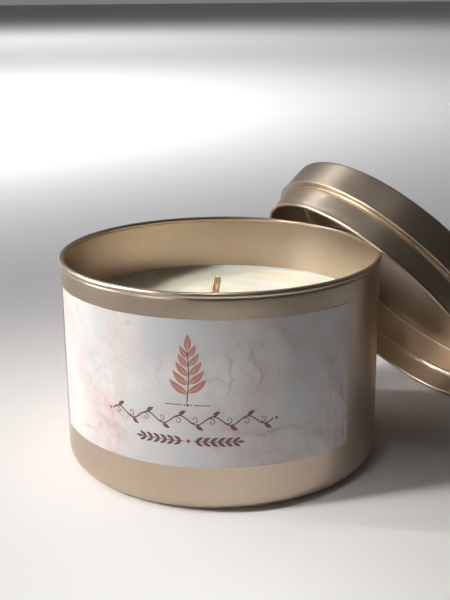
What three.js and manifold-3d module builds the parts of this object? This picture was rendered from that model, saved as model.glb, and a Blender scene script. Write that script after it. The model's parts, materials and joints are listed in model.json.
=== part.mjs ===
// Candle tin: a drawn round tin filled with wax round a cotton wick, with a paper label on
// its front and its step lid taken off and leaning on the rim.
// Millimetres, +Z up. The origin is the centre of the base, on the surface the tin stands on,
// and the middle of the tin looks towards -Y.
import * as THREE from "three";
import { mergeVertices } from "three/addons/utils/BufferGeometryUtils.js";
import Module from "manifold-3d";

// ---- Driving dimensions ----
const SEGMENTS = 64; // facets round each turned piece
const SHEET = 0.3; // thickness of the tinplate
const CLEARANCE = 0.3; // room left between a piece and the neighbour it was formed against
const FACE_GAP = 0.05; // between flat faces that rest on each other

const TIN_RADIUS = 38.5;
const TIN_HEIGHT = 50.8;
const TIN_CORNER = 3.6; // outer radius between base and wall
const RIM_TUBE = 0.69; // the rolled rim is a round bead
const RIM_RADIUS = 38.15; // centre line of that bead
const BASE_BEAD = { inner: 29.5, outer: 32.7, height: 0.6 }; // stiffening ring pressed up into the base

const SKIRT_RADIUS = 37.3; // the lid's lower band, which plugs into the mouth
const BAND_RADIUS = 38.85; // its upper band, flush with the rim
const SKIRT_HEIGHT = 6.8;
const STEP_HEIGHT = 0.6; // the shoulder that sits on the rim
const LID_HEIGHT = 14.75;
const LID_CORNER = 0.93;
const HEM_TUBE = 0.45; // the lid's hem is rolled inwards
const PANEL_RADIUS = 34.2; // the middle of the lid's top lies a little lower than its border
const PANEL_DROP = 0.35;

const LEAN_AZIMUTH = THREE.MathUtils.degToRad(30); // the way the lid slopes down, from +X towards +Y
const LEAN_CHORD = 28.4; // from the lid's centre to the line where its hem crosses the rim
const LEAN_CONTACT = 51.65; // height of the hem plane over that line, just clear of the rim

const WAX_LEVEL = 36.1;
const WAX_CREEP = 0.8; // how far the wax climbs the wall
const WAX_CREEP_WIDTH = 3;

const WICK_X = -1.9; // the wick stands a little off centre
const WICK_TIP = new THREE.Vector3(-0.6, 0, 44.1);
const WICK_WIDTH = 2.0;
const WICK_THICKNESS = 1.4;

const STICKER_RADIUS = 10;
const STICKER_THICKNESS = 0.5;
const TAB_RADIUS = 10;
const TAB_THICKNESS = 0.3;
const TAB_NECK_RADIUS = 1.7;
const TAB_BORE_RADIUS = 1.35;
const TAB_HEIGHT = 6;

const LABEL_BOTTOM = 11.1;
const LABEL_HEIGHT = 33.8;
const LABEL_THICKNESS = 0.18;
const LABEL_LEFT = -72; // degrees round the tin from its front, + towards +X
const LABEL_RIGHT = 47.5;

// ---- Materials ----
const goldLacquer = new THREE.MeshStandardMaterial({ color: 0x9c8262, roughness: 0.38, metalness: 1 });
const bareSteel = new THREE.MeshStandardMaterial({ color: 0xb9bcc0, roughness: 0.3, metalness: 1 });
const waxCream = new THREE.MeshStandardMaterial({ color: 0xf6efdf, roughness: 0.45, metalness: 0 });
const cottonTan = new THREE.MeshStandardMaterial({ color: 0xcdb58c, roughness: 0.95, metalness: 0 });
const labelPaper = new THREE.MeshStandardMaterial({ color: 0xd9d7d5, roughness: 0.6, metalness: 0 });
const adhesiveFoam = new THREE.MeshStandardMaterial({ color: 0xf2f2ee, roughness: 0.8, metalness: 0 });

// ---- Outlines of turned pieces: points (radius, height), anticlockwise ----
const at = (radius, height) => new THREE.Vector2(radius, height);

// Points on an arc, angles in degrees, both ends included.
function arc(centreRadius, centreHeight, radius, from, to, steps) {
  const points = [];
  for (let i = 0; i <= steps; i++) {
    const angle = THREE.MathUtils.degToRad(from + ((to - from) * i) / steps);
    points.push(at(centreRadius + radius * Math.cos(angle), centreHeight + radius * Math.sin(angle)));
  }
  return points;
}

// Turns an outline about Z.
function turned(outline, segments = SEGMENTS) {
  const geometry = new THREE.LatheGeometry(outline, segments);
  return geometry.rotateX(Math.PI / 2);
}

// The pressed-up ring in the base, as it lies at a height, from its inner side to its outer side.
function baseBead(height) {
  const { inner, outer, height: rise } = BASE_BEAD;
  const slope = 0.8;
  return [
    at(inner, height),
    at(inner + slope, height + rise),
    at(outer - slope, height + rise),
    at(outer, height),
  ];
}

function tinBody() {
  const cornerCentre = TIN_RADIUS - TIN_CORNER;
  const rimHeight = TIN_HEIGHT - RIM_TUBE;
  const innerRadius = TIN_RADIUS - SHEET;
  const bead = (radius) => THREE.MathUtils.radToDeg(Math.acos((radius - RIM_RADIUS) / RIM_TUBE));
  return turned([
    at(0, 0),
    ...baseBead(0),
    ...arc(cornerCentre, TIN_CORNER, TIN_CORNER, -90, 0, 6),
    ...arc(RIM_RADIUS, rimHeight, RIM_TUBE, -bead(TIN_RADIUS), 360 - bead(innerRadius), 11),
    ...arc(cornerCentre, TIN_CORNER, TIN_CORNER - SHEET, 0, -90, 5),
    ...baseBead(SHEET).reverse(),
    at(0, SHEET),
  ]);
}

// The lid in its own frame: its hem lies at z = 0 and its top faces +Z.
function lidShell() {
  const hemCentre = SKIRT_RADIUS - HEM_TUBE;
  const stepTop = SKIRT_HEIGHT + STEP_HEIGHT;
  const stepRound = STEP_HEIGHT / 2;
  const cornerCentre = BAND_RADIUS - LID_CORNER;
  const cornerHeight = LID_HEIGHT - LID_CORNER;
  const panelHeight = LID_HEIGHT - PANEL_DROP;
  const panelSlope = 0.6;
  return turned([
    ...arc(hemCentre, HEM_TUBE, HEM_TUBE, -180, 0, 6),
    at(SKIRT_RADIUS, SKIRT_HEIGHT),
    ...arc(BAND_RADIUS - stepRound, SKIRT_HEIGHT + stepRound, stepRound, -90, 0, 3),
    ...arc(cornerCentre, cornerHeight, LID_CORNER, 0, 90, 4),
    at(PANEL_RADIUS + panelSlope, LID_HEIGHT),
    at(PANEL_RADIUS, panelHeight),
    at(0, panelHeight),
    at(0, panelHeight - SHEET),
    at(PANEL_RADIUS, panelHeight - SHEET),
    at(PANEL_RADIUS + panelSlope, LID_HEIGHT - SHEET),
    ...arc(cornerCentre, cornerHeight, LID_CORNER - SHEET, 90, 0, 3),
    at(BAND_RADIUS - SHEET, stepTop),
    at(SKIRT_RADIUS - SHEET, stepTop),
    at(SKIRT_RADIUS - SHEET, 2 * HEM_TUBE),
    at(hemCentre, 2 * HEM_TUBE),
    at(hemCentre - HEM_TUBE, HEM_TUBE),
  ]);
}

// ---- Solids that are joined or cut ----
const wasm = await Module();
wasm.setup();

function solidOf(geometry) {
  const bare = new THREE.BufferGeometry();
  bare.setAttribute("position", geometry.getAttribute("position").clone());
  bare.setIndex(geometry.index);
  const merged = mergeVertices(bare, 1e-4);
  return new wasm.Manifold(
    new wasm.Mesh({
      numProp: 3,
      vertProperties: new Float32Array(merged.getAttribute("position").array),
      triVerts: new Uint32Array(merged.index.array),
    }),
  );
}

function geometryOf(solid) {
  const mesh = solid.getMesh();
  const geometry = new THREE.BufferGeometry();
  geometry.setAttribute("position", new THREE.BufferAttribute(mesh.vertProperties, 3));
  geometry.setIndex(new THREE.BufferAttribute(mesh.triVerts, 1));
  return geometry;
}

// An upright round bar between two heights, centred on the wick.
function wickBar(radius, bottom, top, segments = 24) {
  const bar = turned([at(0, bottom), at(radius, bottom), at(radius, top), at(0, top)], segments);
  return bar.translate(WICK_X, 0, 0);
}

const stickerBottom = SHEET + FACE_GAP;
const tabBottom = stickerBottom + STICKER_THICKNESS + FACE_GAP;
const tabTop = tabBottom + TAB_THICKNESS;
const neckTop = tabBottom + TAB_HEIGHT;

function sustainerTab() {
  const plate = solidOf(wickBar(TAB_RADIUS, tabBottom, tabTop, 32));
  const neck = solidOf(wickBar(TAB_NECK_RADIUS, tabBottom, neckTop));
  const bore = solidOf(wickBar(TAB_BORE_RADIUS, tabBottom - 1, neckTop + 1));
  return geometryOf(plate.add(neck).subtract(bore));
}

function adhesiveSticker() {
  return wickBar(STICKER_RADIUS, stickerBottom, stickerBottom + STICKER_THICKNESS, 32);
}

// The poured wax, moulded round the sticker, the tab and the wick.
function waxFill() {
  const radius = TIN_RADIUS - SHEET - CLEARANCE;
  const cornerCentre = TIN_RADIUS - TIN_CORNER;
  const cornerRadius = TIN_CORNER - SHEET - CLEARANCE;
  const bottom = SHEET + BASE_BEAD.height + CLEARANCE;
  const cornerStart = THREE.MathUtils.radToDeg(Math.asin((bottom - TIN_CORNER) / cornerRadius));
  const creep = [];
  for (let i = 0; i <= 4; i++) {
    const inward = i / 4;
    creep.push(at(radius - WAX_CREEP_WIDTH * inward, WAX_LEVEL + WAX_CREEP * (1 - inward) ** 2));
  }
  const fill = turned([
    at(0, bottom),
    ...arc(cornerCentre, TIN_CORNER, cornerRadius, cornerStart, 0, 3),
    ...creep,
    at(0, WAX_LEVEL),
  ]);
  const tabHollow = wickBar(TAB_RADIUS + CLEARANCE, 0, tabTop + CLEARANCE, 32);
  const neckHollow = wickBar(TAB_NECK_RADIUS + CLEARANCE, 0, neckTop + CLEARANCE);
  const wickHollow = wickBar(WICK_WIDTH / 2 + CLEARANCE, 0, TIN_HEIGHT);
  return geometryOf(
    solidOf(fill)
      .subtract(solidOf(tabHollow))
      .subtract(solidOf(neckHollow))
      .subtract(solidOf(wickHollow)),
  );
}

// The wick runs straight up from the tab and bends over a little above the wax.
function wickStrip() {
  const section = new THREE.Shape();
  section.absellipse(0, 0, WICK_THICKNESS / 2, WICK_WIDTH / 2, 0, 2 * Math.PI);
  const path = new THREE.CurvePath();
  const foot = new THREE.Vector3(WICK_X, 0, tabBottom + CLEARANCE);
  const bend = new THREE.Vector3(WICK_X, 0, WAX_LEVEL - 1);
  const knee = new THREE.Vector3(WICK_X, 0, WAX_LEVEL + 2.5);
  path.add(new THREE.LineCurve3(foot, bend));
  path.add(new THREE.QuadraticBezierCurve3(bend, knee, WICK_TIP));
  return new THREE.ExtrudeGeometry(section, { steps: 24, curveSegments: 6, extrudePath: path });
}

// The label hugs the wall between two angles round the tin.
function labelSheet() {
  const inner = TIN_RADIUS + 2 * FACE_GAP;
  const outer = inner + LABEL_THICKNESS;
  const start = THREE.MathUtils.degToRad(LABEL_LEFT - 90);
  const end = THREE.MathUtils.degToRad(LABEL_RIGHT - 90);
  const shape = new THREE.Shape();
  shape.absarc(0, 0, outer, start, end, false);
  shape.absarc(0, 0, inner, end, start, true);
  const sheet = new THREE.ExtrudeGeometry(shape, {
    depth: LABEL_HEIGHT,
    bevelEnabled: false,
    curveSegments: 32,
  });
  return sheet.translate(0, 0, LABEL_BOTTOM);
}

// ---- Assembly ----
function piece(name, geometry, material) {
  const mesh = new THREE.Mesh(geometry, material);
  mesh.name = name;
  return mesh;
}

const tin = new THREE.Group();
tin.add(piece("tin_body", tinBody(), goldLacquer));
tin.add(piece("front_label", labelSheet(), labelPaper));
tin.add(piece("wax", waxFill(), waxCream));
tin.add(piece("wick", wickStrip(), cottonTan));
tin.add(piece("wick_sustainer", sustainerTab(), bareSteel));
tin.add(piece("sustainer_sticker", adhesiveSticker(), adhesiveFoam));

// The lid leans straight away from the tin: its hem rests on the rim at two points, either side
// of the line it slopes down, and its lowest point stands on the surface under the tin.
const leanTilt = Math.asin(LEAN_CONTACT / (SKIRT_RADIUS + LEAN_CHORD));
const halfChordSquared = SKIRT_RADIUS ** 2 - LEAN_CHORD ** 2;
const rimCrossing = Math.sqrt(RIM_RADIUS ** 2 - halfChordSquared);
const leanReach = rimCrossing + LEAN_CHORD * Math.cos(leanTilt);
const leaningLid = new THREE.Group();
leaningLid.position.set(
  leanReach * Math.cos(LEAN_AZIMUTH),
  leanReach * Math.sin(LEAN_AZIMUTH),
  LEAN_CONTACT - LEAN_CHORD * Math.sin(leanTilt),
);
leaningLid.rotation.set(0, leanTilt, LEAN_AZIMUTH, "ZYX");
leaningLid.add(piece("lid", lidShell(), goldLacquer));

const group = new THREE.Group();
group.add(tin, leaningLid);

export default group;
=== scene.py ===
import json
import random
from math import acos, asin, atan2, cos, degrees, exp, hypot, pi, radians, sin, tau

import bpy
from mathutils import Matrix, Vector


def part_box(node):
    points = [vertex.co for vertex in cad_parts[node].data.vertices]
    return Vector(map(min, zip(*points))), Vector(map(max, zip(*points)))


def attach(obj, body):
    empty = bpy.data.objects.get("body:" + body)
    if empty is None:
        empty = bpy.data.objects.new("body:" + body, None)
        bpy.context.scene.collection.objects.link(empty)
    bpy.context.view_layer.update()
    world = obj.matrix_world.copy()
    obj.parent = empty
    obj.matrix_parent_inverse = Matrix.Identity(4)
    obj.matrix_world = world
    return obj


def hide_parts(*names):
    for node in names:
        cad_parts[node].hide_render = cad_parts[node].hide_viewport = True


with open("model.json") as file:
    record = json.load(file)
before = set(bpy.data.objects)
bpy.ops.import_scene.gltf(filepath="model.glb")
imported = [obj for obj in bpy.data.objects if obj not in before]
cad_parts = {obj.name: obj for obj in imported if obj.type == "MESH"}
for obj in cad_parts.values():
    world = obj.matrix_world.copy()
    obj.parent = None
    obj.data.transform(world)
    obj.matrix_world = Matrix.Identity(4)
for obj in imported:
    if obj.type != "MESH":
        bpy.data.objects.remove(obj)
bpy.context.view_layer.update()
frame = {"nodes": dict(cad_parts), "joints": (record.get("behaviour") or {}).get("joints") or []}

# A candle tin with its lid taken off. Lengths are in millimetres until a mesh is made from
# them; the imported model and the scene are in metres.
MM = 0.001

ROUND = 256  # steps round a turned piece

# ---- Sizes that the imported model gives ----
tin_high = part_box("tin_body")[1] / MM
label_low, label_high = (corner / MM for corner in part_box("front_label"))
wick_low, wick_high = (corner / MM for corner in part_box("wick"))
wax_low, wax_high = (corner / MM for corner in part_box("wax"))

# ---- Sizes of the sheet metal ----
SHEET = 0.3
RIM_TUBE = 0.69
RIM_PROUD = 0.34  # how far the rolled rim stands out from the wall
TIN_CORNER = 3.6
RIM_OUTER = tin_high.x
TIN_HEIGHT = tin_high.z
WALL = RIM_OUTER - RIM_PROUD
INSIDE = WALL - SHEET
BASE_RING = (29.5, 32.7, 0.6)  # stiffening ring in the base: inner and outer radius, height
RING_SIDE = 0.32  # the share of the ring's width that each of its slopes takes


def smooth(t):
    """0 to 1, easing in and out, for t from 0 to 1."""
    t = max(0.0, min(1.0, t))
    return t * t * (3 - 2 * t)


def between(a, b, t):
    return a + (b - a) * t


def arc(centre_radius, centre_height, radius, start, end, steps):
    """Points (radius, height) along an arc, angles in degrees, both ends included."""
    points = []
    for i in range(steps + 1):
        angle = radians(between(start, end, i / steps))
        points.append((centre_radius + radius * cos(angle), centre_height + radius * sin(angle)))
    return points


def straight(start, end, steps):
    """Points between two (radius, height) points, without the ends."""
    return [
        (between(start[0], end[0], i / steps), between(start[1], end[1], i / steps))
        for i in range(1, steps)
    ]


def circle(radius, height, centre=0.0, squeeze=1.0, count=ROUND):
    """A level ring; squeeze narrows it front to back."""
    if radius == 0:
        return [(centre, 0.0, height)]
    return [
        (centre + radius * cos(tau * i / count), squeeze * radius * sin(tau * i / count), height)
        for i in range(count)
    ]


def add_skin(vertices, faces, rings):
    """Joins each ring to the next and the last to the first; a ring of one point is a pole."""
    starts = []
    for ring in rings:
        starts.append(len(vertices))
        vertices.extend(ring)
    for k, ring in enumerate(rings):
        following = (k + 1) % len(rings)
        a, b = starts[k], starts[following]
        size_a, size_b = len(ring), len(rings[following])
        if size_a == 1 and size_b == 1:
            continue
        for i in range(max(size_a, size_b)):
            j = (i + 1) % max(size_a, size_b)
            if size_a == 1:
                faces.append((a, b + j, b + i))
            elif size_b == 1:
                faces.append((a + i, a + j, b))
            else:
                faces.append((a + i, a + j, b + j, b + i))


def add_plate(vertices, faces, front, back):
    """A closed thin plate. front and back are grids of points, alike; front faces the viewer
    who sees its first index run to the right and its second run up."""
    rows, columns = len(front), len(front[0])
    start = len(vertices)
    for grid in (front, back):
        for row in grid:
            vertices.extend(row)

    def at(side, i, j):
        return start + side * rows * columns + i * columns + j

    for i in range(rows - 1):
        for j in range(columns - 1):
            faces.append((at(0, i, j), at(0, i + 1, j), at(0, i + 1, j + 1), at(0, i, j + 1)))
            faces.append((at(1, i, j), at(1, i, j + 1), at(1, i + 1, j + 1), at(1, i + 1, j)))
        for j, flip in ((0, False), (columns - 1, True)):
            side = (at(0, i, j), at(1, i, j), at(1, i + 1, j), at(0, i + 1, j))
            faces.append(side[::-1] if flip else side)
    for j in range(columns - 1):
        for i, flip in ((0, True), (rows - 1, False)):
            side = (at(0, i, j), at(1, i, j), at(1, i, j + 1), at(0, i, j + 1))
            faces.append(side[::-1] if flip else side)


def new_object(name, vertices, faces, sharp_angle=40):
    """A smooth-shaded object; vertices in millimetres, edges over sharp_angle stay crisp."""
    mesh = bpy.data.meshes.new(name)
    mesh.from_pydata([Vector(v) * MM for v in vertices], [], faces)
    mesh.shade_smooth()
    mesh.set_sharp_from_angle(angle=radians(sharp_angle))
    made = bpy.data.objects.new(name, mesh)
    bpy.context.scene.collection.objects.link(made)
    return made


def turned(name, outline):
    """Turns (radius, height) points, anticlockwise, about +Z."""
    vertices, faces = [], []
    add_skin(vertices, faces, [circle(radius, height) for radius, height in outline])
    return new_object(name, vertices, faces)


# ---- The tin ----
def base_ring(height):
    """The ring pressed up into the base, as it lies at a height, from inside to outside."""
    inner, outer, rise = BASE_RING
    steps = 12
    points = []
    for i in range(steps + 1):
        t = i / steps
        points.append((between(inner, outer, t), height + rise * smooth(min(t, 1 - t) / RING_SIDE)))
    return points


def tin_outline():
    """The cup's section: base, wall and curled rim on the outside, then down the inside."""
    corner = WALL - TIN_CORNER
    rim_centre = RIM_OUTER - RIM_TUBE
    rim_height = TIN_HEIGHT - RIM_TUBE
    neck = WALL - 0.12  # the wall is pinched in a little where the curl closes on it
    curl_drop = 0.86  # how far down its tube the curl starts, as a share of the tube's radius
    curl_start = degrees(asin(-curl_drop))
    curl_end = 360 - degrees(acos((INSIDE - rim_centre) / RIM_TUBE))
    curl_low = rim_height - RIM_TUBE * curl_drop
    return [
        (0, 0),
        *straight((0, 0), base_ring(0)[0], 6),
        *base_ring(0),
        *arc(corner, TIN_CORNER, TIN_CORNER, -90, 0, 20),
        *straight((WALL, TIN_CORNER), (WALL, curl_low - 0.7), 24),
        (WALL, curl_low - 0.6),
        (WALL - 0.02, curl_low - 0.35),
        (neck + 0.03, curl_low - 0.12),
        (neck, curl_low + 0.02),
        *arc(rim_centre, rim_height, RIM_TUBE, curl_start, curl_end, 34),
        *straight((INSIDE, rim_height - 1), (INSIDE, TIN_CORNER), 24),
        *arc(corner, TIN_CORNER, TIN_CORNER - SHEET, 0, -90, 16),
        *base_ring(SHEET)[::-1],
        *straight(base_ring(SHEET)[0], (0, SHEET), 6),
        (0, SHEET),
    ]


# ---- The lid, in its own frame: hem at height 0, top towards +Z ----
FACET = 0.05  # the CAD lid has 64 sides: a round one this much smaller stays within its box
SKIRT_STEP = 1.55  # the lower band, which plugs into the mouth, is this much smaller in radius
GROOVE = 0.3  # depth of the groove between the two bands
SHOULDER = 6.8  # height of the step from the lower band to the upper one
HEM = 0.45  # radius of the rolled hem
FOLD = 0.32  # bend radius at the shoulder
LID_CORNER = 0.93
PANEL_INSET = 4.65  # the sunk middle of the top starts this far in from the band
PANEL_SLOPE = 0.9
PANEL_DEPTH = 0.35


def lid_frame():
    """Where the lid's own frame lies, and the lid's radius and height, from its CAD solid."""
    axis = Vector(frame["joints"][0]["axis"]).normalized()
    points = [v.co.copy() for v in frame["nodes"]["lid"].data.vertices]
    middle = sum(points, Vector()) / len(points)
    along = [(p - middle).dot(axis) for p in points]
    radius = max(((p - middle) - axis * a).length for p, a in zip(points, along))
    origin = middle + axis * min(along)
    side = Vector((0, 0, 1)).cross(axis).normalized()
    matrix = Matrix((side.cross(axis), side, axis)).transposed().to_4x4()
    matrix.translation = origin
    return matrix, radius / MM - FACET, (max(along) - min(along)) / MM


def panel_slope(panel, start):
    """From the flat rim of the lid's top down into its sunk middle."""
    steps = 8
    points = []
    for i in range(steps + 1):
        t = i / steps
        points.append((between(panel + PANEL_SLOPE, panel, t), start - PANEL_DEPTH * smooth(t)))
    return points


def lid_outline(band, height):
    """The lid's section: from the hem up the outside, over the top and down the inside."""
    skirt = band - SKIRT_STEP
    neck = skirt - GROOVE
    panel = band - PANEL_INSET
    bend, nook = 0.24, 0.16  # radii below the groove and inside it
    sunk = height - PANEL_DEPTH
    ceiling = sunk - SHEET
    lip = SHOULDER - 1.0  # where the lower band ends, under the groove
    return [
        *arc(skirt - HEM, HEM, HEM, -180, 20, 16),
        (skirt - 0.09, HEM + 0.42),  # pinched in where the hem closes on the skirt
        (skirt - 0.1, HEM + 0.62),
        (skirt - 0.05, HEM + 0.95),
        *straight((skirt - 0.03, HEM + 1.2), (skirt, lip), 6),
        *arc(skirt - bend, lip + 0.14, bend, 0, 62, 6),
        *arc(neck + nook, SHOULDER - nook, nook, 205, 90, 6),
        *arc(band - FOLD, SHOULDER + FOLD, FOLD, -90, 0, 8),
        *straight((band, SHOULDER + FOLD), (band, height - LID_CORNER), 8),
        *arc(band - LID_CORNER, height - LID_CORNER, LID_CORNER, 0, 90, 14),
        *panel_slope(panel, height),
        *straight((panel, sunk), (0, sunk), 8),
        (0, sunk),
        (0, ceiling),
        *straight((0, ceiling), (panel, ceiling), 8),
        *panel_slope(panel, height - SHEET)[::-1],
        *arc(band - LID_CORNER, height - LID_CORNER, LID_CORNER - SHEET, 90, 0, 12),
        *straight((band - SHEET, height - LID_CORNER), (band - SHEET, SHOULDER + 0.5), 8),
        *arc(band - SHEET - 0.25, SHOULDER + 0.55, 0.25, 0, -90, 5),
        *arc(neck - SHEET + 0.3, SHOULDER, 0.3, 90, 180, 5),
        *straight((neck - SHEET, SHOULDER - 0.2), (skirt - SHEET, lip), 3),
        *straight((skirt - SHEET, lip), (skirt - SHEET, 2.4 * HEM), 6),
        *arc(skirt - HEM, HEM, HEM, 70, 175, 8),
    ]


# ---- The wax ----
WAX_LEVEL = wax_high.z - 0.8
WAX_CREEP = 0.75  # how far the wax climbs the wall
WAX_GAP = 0.02  # left between the fill and the wall
WICK_MIDDLE = wick_low.x + 1.0
WICK_HALF_WIDTH = 1.0
WICK_SQUEEZE = 0.7  # the flat wick's depth as a share of its width
WICK_GAP = 0.03  # left between the wick and the wax
WICK_HOLE = WICK_HALF_WIDTH + WICK_GAP
TAB_RADIUS, TAB_HEIGHT = 10.3, 0.3  # hollow left for the sustainer tab
NECK_RADIUS, NECK_TOP = 2.0, 7.2  # and for the tab's crimp neck


def wax_height(x, y, from_wall, from_wick):
    """The poured surface: it climbs the wall and the wick, and is nowhere quite flat."""
    creep = WAX_CREEP * max(0.0, 1 - from_wall / 3.0) ** 2.4
    collar = 0.4 * exp(-from_wick / 0.45) - 0.14 * exp(-((from_wick - 3.4) / 2.6) ** 2)
    swell = 0.07 * sin(0.17 * x + 0.6) * sin(0.21 * y - 0.4)
    swell += 0.035 * sin(0.55 * x - 0.31 * y) + 0.025 * sin(0.83 * y + 0.47 * x + 1.1)
    edge_fade = smooth(from_wall / 6.0) * smooth(from_wick / 3.0)
    return WAX_LEVEL + creep + collar + swell * edge_fade


def wax_rings():
    """Rings from the bottom up the wall, in over the surface, and down round the wick's hole."""
    radius = INSIDE - WAX_GAP
    corner = WALL - TIN_CORNER
    bottom = wax_low.z
    tab_top = bottom + TAB_HEIGHT
    rings = [circle(TAB_RADIUS, bottom, WICK_MIDDLE)]
    rings.append(circle(20, bottom, WICK_MIDDLE * 0.4))
    corner_radius = TIN_CORNER - SHEET - WAX_GAP
    start = degrees(asin((bottom - TIN_CORNER) / corner_radius))
    rings += [circle(r, z) for r, z in arc(corner, TIN_CORNER, corner_radius, start, 0, 8)]
    for i in range(1, 8):
        rings.append(circle(radius, between(TIN_CORNER, WAX_LEVEL - 1, i / 7)))
    steps = 72
    for i in range(steps + 1):
        share = (i / steps) ** 1.5  # finer steps near the wall
        ring_radius = between(radius, WICK_HOLE, share)
        near = smooth(1 - (ring_radius - WICK_HALF_WIDTH) / 5.0)
        squeeze = between(1.0, (WICK_HALF_WIDTH * WICK_SQUEEZE + WICK_GAP) / WICK_HOLE, near)
        ring = []
        for x, y, _ in circle(ring_radius, 0, WICK_MIDDLE * share, squeeze):
            height = wax_height(x, y, radius - ring_radius, ring_radius - WICK_HALF_WIDTH)
            ring.append((x, y, height))
        rings.append(ring)
    for height in (WAX_LEVEL - 1, between(WAX_LEVEL, NECK_TOP, 0.5), NECK_TOP):
        rings.append(circle(WICK_HOLE, height, WICK_MIDDLE, WICK_SQUEEZE))
    rings.append(circle(NECK_RADIUS, NECK_TOP, WICK_MIDDLE))
    rings.append(circle(NECK_RADIUS, tab_top, WICK_MIDDLE))
    rings.append(circle(TAB_RADIUS, tab_top, WICK_MIDDLE))
    return rings


# ---- The wick ----
STRANDS = 7
STRAND_RADIUS = 0.235
CORE_RADIUS = 0.5
LOOSE_FIBRES = 26
FIBRE_RADIUS = 0.035
BRAID_WIDTH = WICK_HALF_WIDTH - STRAND_RADIUS
BRAID_DEPTH = WICK_HALF_WIDTH * WICK_SQUEEZE - STRAND_RADIUS
BRAID_PITCH = 6.6  # length in which a strand crosses the wick and comes back
WICK_TIP = Vector((wick_high.x - 0.95, 0, wick_high.z - 0.25))


def wick_axis():
    """Evenly spaced points up the middle of the wick: straight in the wax, bent above it."""
    foot = Vector((WICK_MIDDLE, 0, wick_low.z))
    bend = Vector((WICK_MIDDLE, 0, WAX_LEVEL - 1))
    knee = Vector((WICK_MIDDLE, 0, WAX_LEVEL + 2.5))
    step = 0.14
    points = []
    count = int((bend - foot).length / step)
    points += [foot.lerp(bend, i / count) for i in range(count)]
    count = int((WICK_TIP - bend).length / step)
    for i in range(count + 1):
        t = i / count
        points.append(bend.lerp(knee, t).lerp(knee.lerp(WICK_TIP, t), t))
    return points, step


def tube(path, radii, sides):
    """Rings round a path that never points along Y, with a pole at each end."""
    rings = [[tuple(path[0])]]
    for i, point in enumerate(path):
        forward = (path[min(i + 1, len(path) - 1)] - path[max(i - 1, 0)]).normalized()
        across = Vector((0, 1, 0)).cross(forward).normalized()
        up = forward.cross(across)
        ring = []
        for k in range(sides):
            angle = tau * k / sides
            ring.append(tuple(point + radii[i] * (cos(angle) * across + sin(angle) * up)))
        rings.append(ring)
    rings.append([tuple(path[-1])])
    return rings


def wick_braid():
    """Strands that weave across one another round a core, and loose fibres at the cut."""
    axis, step = wick_axis()
    vertices, faces = [], []
    for strand in range(STRANDS):
        path = []
        for i, point in enumerate(axis):
            turn = tau * (i * step / BRAID_PITCH + strand / STRANDS)
            forward = (axis[min(i + 1, len(axis) - 1)] - axis[max(i - 1, 0)]).normalized()
            wide = Vector((0, 1, 0)).cross(forward)
            across = wide * BRAID_WIDTH * cos(turn)
            path.append(point + across + Vector((0, BRAID_DEPTH * sin(2 * turn), 0)))
        lean = (path[-1] - axis[-1]).x / BRAID_WIDTH  # the wick is cut off at a slant
        path = path[: len(path) - int((0.55 + 0.5 * lean) / step)]
        radii = [STRAND_RADIUS * (1 + 0.06 * sin(2.1 * i + strand)) for i in range(len(path))]
        radii[0] = radii[-1] = STRAND_RADIUS * 0.55
        add_skin(vertices, faces, tube(path, radii, 10))
    core = axis[: len(axis) - int(0.7 / step)]
    add_skin(vertices, faces, tube(core, [CORE_RADIUS] * len(core), 12))
    fibres = random.Random(7)
    for _ in range(LOOSE_FIBRES):
        root = axis[-1] + Vector((fibres.uniform(-0.8, 0.8), fibres.uniform(-0.45, 0.45), -0.7))
        aim = Vector((fibres.uniform(-0.7, 0.7), fibres.uniform(-0.5, 0.5), 1)).normalized()
        curl = Vector((fibres.uniform(-0.4, 0.4), fibres.uniform(-0.4, 0.4), 0))
        length = fibres.uniform(0.5, 1.05)
        path = [root + aim * length * t / 5 + curl * (t / 5) ** 2 * length * 0.6 for t in range(6)]
        add_skin(vertices, faces, tube(path, [FIBRE_RADIUS - 0.004 * t for t in range(6)], 5))
    return vertices, faces


# ---- The label and the ornament printed on it ----
LABEL_INNER = WALL + 0.02
LABEL_OUTER = LABEL_INNER + 0.15
LABEL_BEVEL = 0.05  # the sheet's front sinks this much at its edge
INK_DEPTH = 0.01  # a patch of ink starts this far inside the paper
ORNAMENT_PLACE = 0.512  # the ornament's middle line, as a share of the label's width


def on_wall(azimuth, height, radius):
    """A point round the tin: azimuth in radians from the front, + towards +X."""
    return (radius * sin(azimuth), -radius * cos(azimuth), height)


def label_span():
    """The label's left and right edge, in radians from the front."""
    left = atan2(label_low.x, -label_high.y)
    right = asin(label_high.x / -label_low.y)
    return left, right


def label_sheet(name):
    """The paper as a thin closed sheet bent round the wall."""
    left, right = label_span()
    columns, rows = 260, 40
    grids = []
    for radius, bevel in ((LABEL_OUTER, LABEL_BEVEL), (LABEL_INNER, 0.0)):
        grid = []
        for i in range(columns + 1):
            azimuth = between(left, right, i / columns)
            line = []
            for j in range(rows + 1):
                height = between(label_low.z, label_high.z, j / rows)
                on_edge = i in (0, columns) or j in (0, rows)
                line.append(on_wall(azimuth, height, radius - (bevel if on_edge else 0)))
            grid.append(line)
        grids.append(grid)
    vertices, faces = [], []
    add_plate(vertices, faces, *grids)
    return new_object(name, vertices, faces, sharp_angle=50)


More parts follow.
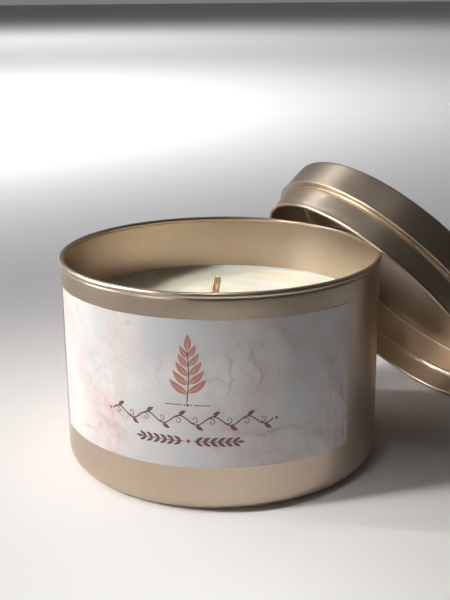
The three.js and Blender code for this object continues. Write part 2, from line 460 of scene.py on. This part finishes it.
class Print:
    """Thin closed patches of ink on the label, which stand over the paper by the lift. Points
    are (along, height) from the ornament's middle line and from the label's bottom edge."""

    def __init__(self, name, lift):
        self.name = name
        self.lift = lift
        self.vertices = []
        self.faces = []
        self.middle = between(*label_span(), ORNAMENT_PLACE)

    def place(self, point, lift):
        azimuth = self.middle + point[0] / LABEL_OUTER
        return on_wall(azimuth, label_low.z + point[1], LABEL_OUTER + lift)

    def stroke(self, points, spans):
        """A band along points. spans gives its two edges at each, measured to the left."""
        front, back = [], []
        for i, point in enumerate(points):
            before, after = points[max(i - 1, 0)], points[min(i + 1, len(points) - 1)]
            along = (after[0] - before[0], after[1] - before[1])
            length = hypot(*along)
            normal = (-along[1] / length, along[0] / length)
            low, high = spans[i]
            columns = []
            for share in (0, 0.5, 1):
                offset = between(low, high, share)
                columns.append((point[0] + normal[0] * offset, point[1] + normal[1] * offset))
            front.append([self.place(c, self.lift) for c in columns])
            back.append([self.place(c, -INK_DEPTH) for c in columns])
        add_plate(self.vertices, self.faces, front, back)

    def line(self, points, width):
        self.stroke(points, [(-width / 2, width / 2)] * len(points))

    def rule(self, start, end, height, width):
        steps = max(2, int((end - start) / 0.7))  # the wall is round: a point every 0.7 or so
        self.line([(between(start, end, i / steps), height) for i in range(steps + 1)], width)

    def dot(self, point, radius):
        steps = 12
        points, spans = [], []
        for i in range(steps + 1):
            angle = pi * (1 - i / steps)
            half = max(0.012, radius * sin(angle))
            points.append((point[0] + radius * cos(angle), point[1]))
            spans.append((-half, half))
        self.stroke(points, spans)

    def leaf(self, root, aim, length, width, bend=0.0, vein=0.14):
        """A pointed leaf in two halves with a bare vein between; aim and bend in degrees."""
        steps = 14
        stride = length / steps
        points = [root]
        for i in range(steps):
            angle = radians(aim + bend * i / steps)
            last = points[-1]
            points.append((last[0] + cos(angle) * stride, last[1] + sin(angle) * stride))
        for side in (-1, 1):
            spans = []
            for i in range(steps + 1):
                t = i / steps
                half = width / 2 * sin(pi * t**0.82) ** 0.9 if 0 < t < 1 else 0
                gap = vein / 2 * (1 - t)
                reach = max(half, gap + 0.02)
                spans.append((gap, reach) if side > 0 else (-reach, -gap))
            self.stroke(points, spans)

    def finish(self):
        return new_object(self.name, self.vertices, self.faces, sharp_angle=30)


# heights over the label's bottom edge
SPRIG_FOOT = 15.3
STEM_TOP = 26.9
VINE_HEIGHT = 11.2
GARLAND_HEIGHT = 6.3


def stem_point(t):
    """The sprig's stem, from foot to top as t goes from 0 to 1."""
    return (0.5 * sin(2.6 * t) - 0.15, between(SPRIG_FOOT, STEM_TOP, t))


def draw_sprig(lines, leaves, berries):
    """An upright sprig with five pairs of leaves over a short broken rule."""
    lines.line([stem_point(i / 24) for i in range(25)], 0.24)
    leaves.leaf(stem_point(1.0), 84, 3.9, 1.5, bend=8)
    for pair in range(5):
        t = 0.17 + 0.175 * pair
        for side in (-1, 1):
            root = stem_point(t + (0.025 if side > 0 else 0.0))
            aim = 90 - side * (66 - 5 * pair)
            leaves.leaf(root, aim, 5.2 - 0.48 * pair, 1.55 - 0.08 * pair, bend=side * 30)
    foot = SPRIG_FOOT - 0.6
    for side in (-1, 1):
        lines.rule(*sorted((side * 1.3, side * 5.0)), foot, 0.17)
        berries.dot((side * 0.72, foot), 0.2)
    berries.dot((0, foot), 0.34)


def draw_vine(lines, berries):
    """A wavy stem with a tendril curled up under each crest and a leaf over it."""
    crests, half = 10, 18.6
    width = 2 * half / crests

    def vine(along):
        return (along, VINE_HEIGHT + 1.0 * sin(pi * (along + half) / width))

    lines.line([vine(between(-half, half, i / 150)) for i in range(151)], 0.27)
    for crest in range(crests):
        middle = -half + width * (crest + 0.5)
        up = 1 if crest % 2 == 0 else -1
        tendril = [vine(middle - 1.25)]
        heading = radians(28 * up)
        turns = 30
        for i in range(turns):
            heading -= up * radians(6.0 + 13.0 * i / turns)
            step = 0.158 * (1 - 0.45 * i / turns)
            last = tendril[-1]
            tendril.append((last[0] + step * cos(heading), last[1] + step * sin(heading)))
        lines.stroke(tendril, [(-0.1 + 0.0014 * i, 0.1 - 0.0014 * i) for i in range(turns + 1)])
        lines.leaf(vine(middle - 0.1), 52 * up, 2.0, 0.85, bend=-34 * up, vein=0.08)
    for end in (-1, 1):
        berries.dot((end * (half + 0.75), VINE_HEIGHT), 0.32)


def draw_garland(lines, berries):
    """Two level twigs with leaves in pairs, pointing away from a middle berry."""
    reach, gap, pairs = 12.3, 1.1, 6
    for side in (-1, 1):
        lines.rule(*sorted((side * gap, side * (reach - 1.6))), GARLAND_HEIGHT, 0.15)
        for pair in range(pairs):
            along = side * between(gap + 0.5, reach - 2.6, pair / (pairs - 1))
            for up in (-1, 1):
                aim = up * 40 if side > 0 else 180 - up * 40
                lines.leaf((along, GARLAND_HEIGHT), aim, 2.0, 0.66, bend=-18 * up * side, vein=0.07)
        lines.leaf((side * (reach - 1.7), GARLAND_HEIGHT), 0 if side > 0 else 180, 1.7, 0.6, vein=0.07)
    berries.dot((0, GARLAND_HEIGHT), 0.42)


# ---- Materials ----
class Look:
    """A node material built round one Principled shader, in the piece's own coordinates."""

    def __init__(self, name, **sockets):
        self.material = bpy.data.materials.new(name)
        self.material.use_nodes = True
        self.nodes = self.material.node_tree.nodes
        self.shader = self.nodes["Principled BSDF"]
        self.place = self.nodes.new("ShaderNodeTexCoord").outputs["Object"]
        for socket, value in sockets.items():
            self.shader.inputs[socket.replace("_", " ")].default_value = value

    def add(self, kind, inputs, **settings):
        node = self.nodes.new(kind)
        for name, value in settings.items():
            setattr(node, name, value)
        for key, value in inputs.items():
            self.connect(node.inputs[key], value)
        return node

    def connect(self, socket, value):
        if isinstance(value, bpy.types.NodeSocket):
            self.material.node_tree.links.new(value, socket)
        else:
            socket.default_value = value

    def drive(self, socket, value):
        self.connect(self.shader.inputs[socket], value)

    def noise(self, scale, detail=2.0, rough=0.5, place=None, distortion=0.0):
        node = self.add(
            "ShaderNodeTexNoise",
            {
                "Vector": place or self.place,
                "Scale": scale,
                "Detail": detail,
                "Roughness": rough,
                "Distortion": distortion,
            },
        )
        return node.outputs["Fac"]

    def stretched(self, x, y, z):
        node = self.add("ShaderNodeMapping", {"Vector": self.place, "Scale": (x, y, z)})
        return node.outputs["Vector"]

    def part(self, vector, axis):
        """The X, Y or Z of a vector."""
        return self.add("ShaderNodeSeparateXYZ", {"Vector": vector}).outputs[axis]

    def voronoi(self, scale, place=None, **settings):
        inputs = {"Vector": place or self.place, "Scale": scale}
        return self.add("ShaderNodeTexVoronoi", inputs, **settings).outputs

    def fit(self, value, low, high, to_low=0.0, to_high=1.0, ease=False):
        """Maps low to high onto to_low to to_high, and holds at the ends."""
        node = self.add(
            "ShaderNodeMapRange",
            {"Value": value, "From Min": low, "From Max": high, "To Min": to_low, "To Max": to_high},
            interpolation_type="SMOOTHSTEP" if ease else "LINEAR",
        )
        return node.outputs["Result"]

    def math(self, operation, a, b=0.0):
        return self.add("ShaderNodeMath", {0: a, 1: b}, operation=operation).outputs[0]

    def mix(self, share, a, b):
        return self.add("ShaderNodeMix", {0: share, 6: a, 7: b}, data_type="RGBA").outputs[2]

    def bumps(self, *layers):
        """Stacks (height, depth in millimetres) pairs into the shader's normal."""
        normal = None
        for height, depth in layers:
            inputs = {"Height": height, "Distance": depth * MM, "Strength": 1.0}
            if normal:
                inputs["Normal"] = normal
            normal = self.add("ShaderNodeBump", inputs).outputs["Normal"]
        self.drive("Normal", normal)


def rgb(red, green, blue):
    """A colour as it looks on screen, 0 to 255, made linear."""

    def linear(value):
        value /= 255
        return value / 12.92 if value <= 0.04045 else ((value + 0.055) / 1.055) ** 2.4

    return (linear(red), linear(green), linear(blue), 1.0)


def gold_lacquer(name):
    """Tinplate under a satin champagne-gold lacquer, with fine drawing lines up the wall, a
    grain of flecks, and a few pale specks."""
    look = Look(name, Metallic=1.0, Coat_Weight=0.12, Coat_Roughness=0.3, Coat_IOR=1.45)
    tone = look.noise(45, detail=3)
    fleck = look.noise(2600, detail=2, rough=0.6)
    drawn = look.noise(420, detail=3, place=look.stretched(1, 1, 0.12))

    cells = look.voronoi(170.0)
    spot = look.fit(cells["Distance"], 0.012, 0.024, 1.0, 0.0)
    chosen = look.fit(look.part(cells["Color"], "X"), 0.9, 0.91)
    speck = look.math("MULTIPLY", spot, chosen)

    base = look.mix(look.fit(tone, 0.3, 0.7), rgb(191, 174, 154), rgb(200, 184, 165))
    base = look.mix(look.fit(fleck, 0.35, 0.75, 0.0, 0.2), base, rgb(160, 140, 117))
    base = look.mix(look.math("MULTIPLY", speck, 0.6), base, rgb(236, 226, 208))
    look.drive("Base Color", base)

    grain = look.fit(fleck, 0.2, 0.8, 0.30, 0.37)
    satin = look.math("ADD", grain, look.fit(drawn, 0.3, 0.7, -0.01, 0.01))
    look.drive("Roughness", look.math("ADD", satin, look.math("MULTIPLY", speck, 0.3)))
    look.bumps(
        (look.noise(38, detail=1), 0.05),
        (drawn, 0.004),
        (fleck, 0.006),
        (look.noise(9000, detail=1), 0.0006),
    )
    return look.material


def candle_wax():
    """Cream soy wax: light soaks in, with a faint frost and pouring marks."""
    look = Look(
        "candle_wax",
        Roughness=0.42,
        IOR=1.43,
        Subsurface_Weight=0.7,
        Subsurface_Radius=(1.0, 0.76, 0.52),
        Subsurface_Scale=0.0028,
    )
    frost = look.noise(130, detail=5, rough=0.65, distortion=0.6)
    base = look.mix(look.fit(frost, 0.35, 0.7), rgb(253, 240, 218), rgb(255, 248, 233))
    look.drive("Base Color", base)
    look.drive("Roughness", look.fit(frost, 0.3, 0.7, 0.36, 0.52))
    look.bumps((look.noise(160, detail=3), 0.05), (look.noise(1500, detail=3), 0.008))
    return look.material


def cotton_yarn():
    """Waxed cotton: pale tan yarn with fine fibres, greyer towards the cut."""
    look = Look(
        "cotton_yarn",
        Roughness=0.8,
        Sheen_Weight=0.35,
        Sheen_Roughness=0.5,
        Subsurface_Weight=0.2,
        Subsurface_Radius=(1.0, 0.7, 0.45),
        Subsurface_Scale=0.0006,
    )
    fibre = look.noise(5200, detail=3, place=look.stretched(1, 1, 0.2))
    patch = look.noise(420, detail=2)
    base = look.mix(look.fit(fibre, 0.3, 0.7), rgb(196, 170, 124), rgb(238, 220, 184))
    base = look.mix(look.fit(patch, 0.4, 0.7, 0, 0.5), base, rgb(214, 192, 150))
    top = WICK_TIP.z * MM
    by_cut = look.fit(look.part(look.place, "Z"), top - 1.6 * MM, top - 0.2 * MM, 0, 0.6, ease=True)
    look.drive("Base Color", look.mix(by_cut, base, rgb(206, 200, 184)))
    look.bumps((fibre, 0.03), (look.noise(1500, detail=2), 0.03))
    return look.material


def marbled_paper():
    """Pale grey paper printed with clouds and soft branching pink-brown veins."""
    look = Look(
        "marbled_paper",
        Roughness=0.55,
        Specular_IOR_Level=0.4,
        Coat_Weight=0.08,
        Coat_Roughness=0.35,
    )
    clouds = look.noise(48, detail=5, rough=0.55, distortion=0.5)
    base = look.mix(look.fit(clouds, 0.34, 0.66), rgb(190, 191, 193), rgb(210, 208, 205))
    warm = look.noise(64, detail=4, distortion=0.8)
    base = look.mix(look.fit(warm, 0.48, 0.72, 0, 0.5, ease=True), base, rgb(205, 182, 176))

    # the veins are the edges between cells, bent by a noise
    wander = look.add(
        "ShaderNodeTexNoise", {"Vector": look.place, "Scale": 70.0, "Detail": 4.0, "Roughness": 0.6}
    ).outputs["Color"]
    shift = look.add("ShaderNodeVectorMath", {0: wander, 1: (0.5, 0.5, 0.5)}, operation="SUBTRACT")
    reach = {0: shift.outputs[0], "Scale": 0.022}
    scaled = look.add("ShaderNodeVectorMath", reach, operation="SCALE")
    bent = look.add("ShaderNodeVectorMath", {0: look.place, 1: scaled.outputs[0]}, operation="ADD")
    ink = 0.0
    for scale, width, strength, patches, threshold in (
        (44.0, 0.13, 0.34, 30, 0.45),
        (44.0, 0.035, 0.64, 30, 0.48),
        (88.0, 0.07, 0.42, 46, 0.49),
        (190.0, 0.12, 0.2, 60, 0.50),
    ):
        edges = look.voronoi(scale, bent.outputs[0], feature="DISTANCE_TO_EDGE")
        thin = look.fit(edges["Distance"], 0.0, width, 1.0, 0.0, ease=True)
        where = look.fit(look.noise(patches, detail=2), threshold, threshold + 0.16, ease=True)
        vein = look.math("MULTIPLY", look.math("MULTIPLY", thin, where), strength)
        ink = look.math("MAXIMUM", ink, vein)
    broken = look.fit(look.noise(520, detail=4, rough=0.65), 0.3, 0.65, 0.25, 1.0)
    base = look.mix(look.math("MULTIPLY", ink, broken), base, rgb(160, 108, 100))

    grain = look.noise(2200, detail=2)
    base = look.mix(look.fit(grain, 0.3, 0.7, 0.0, 0.06), base, rgb(176, 172, 168))
    look.drive("Base Color", base)
    look.drive("Roughness", look.fit(grain, 0.3, 0.7, 0.5, 0.62))
    look.bumps((look.noise(300, detail=2), 0.006), (grain, 0.003))
    return look.material


def printed_ink(name, colour, worn):
    """Copper-toned ink, a little uneven where the paper's grain takes less of it."""
    look = Look(name, Metallic=0.15, Roughness=0.45)
    grain = look.noise(2600, detail=3)
    patch = look.noise(350, detail=3)
    base = look.mix(look.fit(grain, 0.35, 0.7, 0, 0.5), colour, worn)
    base = look.mix(look.fit(patch, 0.4, 0.7, 0, 0.3), base, worn)
    look.drive("Base Color", base)
    look.drive("Roughness", look.fit(grain, 0.3, 0.7, 0.38, 0.6))
    look.bumps((grain, 0.004))
    return look.material


def bright_tinplate():
    """Bare tinplate with a rolled grain, for the sustainer tab."""
    look = Look("bright_tinplate", Metallic=1.0)
    grain = look.noise(1800, detail=3, place=look.stretched(1, 0.1, 1))
    look.drive("Base Color", look.mix(grain, rgb(196, 198, 202), rgb(222, 223, 225)))
    look.drive("Roughness", look.fit(grain, 0.3, 0.7, 0.22, 0.34))
    look.bumps((grain, 0.004))
    return look.material


def white_foam():
    """Fine-celled foam tape, for the sticker under the tab."""
    look = Look("white_foam", Roughness=0.85)
    cells = look.voronoi(3800.0)["Distance"]
    look.drive("Base Color", look.mix(cells, rgb(244, 244, 240), rgb(226, 226, 220)))
    look.bumps((cells, 0.03))
    return look.material


def pale_floor():
    look = Look("pale_floor", Roughness=0.9)
    tone = look.noise(3, detail=2)
    look.drive("Base Color", look.mix(tone, rgb(233, 231, 232), rgb(238, 236, 236)))
    return look.material


# ---- Pieces ----
def give(piece, material, body, replaced=None):
    """Finishes a piece: its material, the body it rides on, the node it stands for."""
    piece.data.materials.append(material)
    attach(piece, body)
    if replaced:
        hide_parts(replaced)


def make_pieces():
    gold = gold_lacquer("gold_lacquer_tin")
    give(turned("tin_shell", tin_outline()), gold, "tin", "tin_body")

    place, band, height = lid_frame()
    lid = turned("lid_shell", lid_outline(band, height))
    lid.data.transform(place)
    give(lid, gold_lacquer("gold_lacquer_lid"), "lid", "lid")

    vertices, faces = [], []
    add_skin(vertices, faces, wax_rings())
    give(new_object("wax_fill", vertices, faces), candle_wax(), "tin", "wax")

    wick = new_object("braided_wick", *wick_braid(), sharp_angle=60)
    give(wick, cotton_yarn(), "tin", "wick")

    give(label_sheet("marbled_label"), marbled_paper(), "tin", "front_label")
    make_ornament()

    for node, material in (("wick_sustainer", bright_tinplate()), ("sustainer_sticker", white_foam())):
        kept = frame["nodes"][node].data.materials
        kept.clear()
        kept.append(material)


def make_ornament():
    """The ornament in three inks, each a few thousandths of a millimetre over the last."""
    leaves, lines = Print("printed_leaves", 0.016), Print("printed_lines", 0.022)
    berries = Print("printed_berries", 0.028)
    draw_sprig(lines, leaves, berries)
    draw_vine(lines, berries)
    draw_garland(lines, berries)
    for drawing, colour, worn in (
        (lines, rgb(98, 52, 50), rgb(128, 82, 76)),
        (leaves, rgb(172, 116, 98), rgb(190, 142, 126)),
        (berries, rgb(156, 78, 52), rgb(176, 104, 78)),
    ):
        ink = printed_ink(drawing.name + "_ink", colour, worn)
        give(drawing.finish(), ink, "tin")


# ---- The studio ----
FLOOR_RINGS = (0, 60, 120, 240, 480, 960, 2000, 4000, 9000, 20000, 50000)  # radii
FLOOR_DEPTH = 5


def make_floor():
    rings = [circle(radius, 0, count=96) for radius in FLOOR_RINGS]
    rings += [circle(FLOOR_RINGS[-1], -FLOOR_DEPTH, count=96), [(0, 0, -FLOOR_DEPTH)]]
    vertices, faces = [], []
    add_skin(vertices, faces, rings)
    floor = new_object("floor", vertices, [face[::-1] for face in faces])
    floor.data.materials.append(pale_floor())


def area_light(name, place, target, size, power, colour, spread):
    """A rectangular light, in metres and watts; spread is its whole beam angle in degrees."""
    light = bpy.data.lights.new(name, "AREA")
    light.shape = "RECTANGLE"
    light.size, light.size_y = size
    light.energy = power
    light.color = colour
    light.spread = radians(spread)
    holder = bpy.data.objects.new(name, light)
    holder.location = place
    aim = Vector(target) - Vector(place)
    holder.rotation_euler = aim.to_track_quat("-Z", "Y").to_euler()
    bpy.context.scene.collection.objects.link(holder)


def make_lights():
    """From the left a window-like key, a narrow beam into the tin's mouth and soft fills; small
    ones for the front and the floor there; and washes on the floor behind."""
    tin = (-0.035, 0.005, 0.03)
    warm, plain, cool = (1.0, 0.975, 0.94), (1.0, 0.985, 0.97), (0.98, 0.985, 1.0)
    for name, place, target, size, power, colour, spread in (
        ("window", (-0.58, -0.16, 0.44), tin, (0.12, 0.12), 0.088, warm, 20),
        ("mouth", (-0.56, 0.08, 0.42), (0.015, 0, 0.045), (0.06, 0.06), 0.012, warm, 8),
        ("left_fill", (-0.6, 0.25, 0.35), tin, (0.4, 0.4), 0.3, plain, 90),
        ("low_left", (-0.7, 0.0, 0.15), tin, (0.3, 0.2), 0.17, plain, 60),
        ("low_front", (-0.45, -0.45, 0.12), tin, (0.25, 0.2), 0.05, plain, 60),
        ("front_pool", (-0.04, -0.15, 0.75), (0, -0.125, 0), (0.1, 0.1), 0.045, plain, 15),
        ("near_wash", (-0.45, 0.55, 0.6), (-0.42, 0.68, 0), (0.5, 0.4), 2.2, cool, 90),
        ("back_wash", (-0.4, 0.95, 0.8), (-0.1, 1.05, 0), (0.9, 0.7), 4.2, cool, 110),
        ("far_wash", (-0.8, 2.2, 2.4), (-0.6, 3.17, 0), (0.4, 0.4), 26.0, cool, 116),
    ):
        area_light(name, place, target, size, power, colour, spread)


def make_world():
    """Dim soft surroundings, brighter behind the tin."""
    world = bpy.data.worlds.new("studio")
    bpy.context.scene.world = world
    world.use_nodes = True
    nodes, links = world.node_tree.nodes, world.node_tree.links
    direction = nodes.new("ShaderNodeTexCoord").outputs["Generated"]
    dot = nodes.new("ShaderNodeVectorMath")
    dot.operation = "DOT_PRODUCT"
    links.new(direction, dot.inputs[0])
    dot.inputs[1].default_value = Vector((-0.15, 1, 0.25)).normalized()
    half = nodes.new("ShaderNodeMapRange")  # -1 to 1 made 0 to 1
    half.inputs["From Min"].default_value = -1
    links.new(dot.outputs["Value"], half.inputs["Value"])
    ramp = nodes.new("ShaderNodeValToRGB")
    ramp.color_ramp.interpolation = "EASE"
    dim, bright = ramp.color_ramp.elements
    dim.position, dim.color = 0.5, (0.042, 0.041, 0.041, 1)
    bright.position, bright.color = 0.95, (0.22, 0.22, 0.225, 1)
    links.new(half.outputs["Result"], ramp.inputs["Fac"])
    links.new(ramp.outputs["Color"], nodes["Background"].inputs["Color"])
    nodes["Background"].inputs["Strength"].default_value = 0.9


def make_camera():
    """In front of the tin, 16.6 degrees down, turned and rolled by a fraction of a degree."""
    data = bpy.data.cameras.new("camera")
    data.sensor_width = 36
    data.lens = 60.2
    data.clip_start = 0.01
    yaw, down, roll = 0.0046, 0.2898, -0.0091  # radians
    forward = Vector((sin(yaw) * cos(down), cos(yaw) * cos(down), -sin(down)))
    level = Vector((cos(yaw), -sin(yaw), 0))
    upright = level.cross(forward)
    right = cos(roll) * level + sin(roll) * upright
    up = cos(roll) * upright - sin(roll) * level
    camera = bpy.data.objects.new("camera", data)
    matrix = Matrix((right, up, -forward)).transposed().to_4x4()
    matrix.translation = Vector((0, -237.0, 108.5)) * MM
    camera.matrix_world = matrix
    bpy.context.scene.collection.objects.link(camera)
    bpy.context.scene.camera = camera


make_camera()
make_pieces()
make_floor()
make_lights()
make_world()
bpy.context.scene.view_settings.view_transform = "Standard"
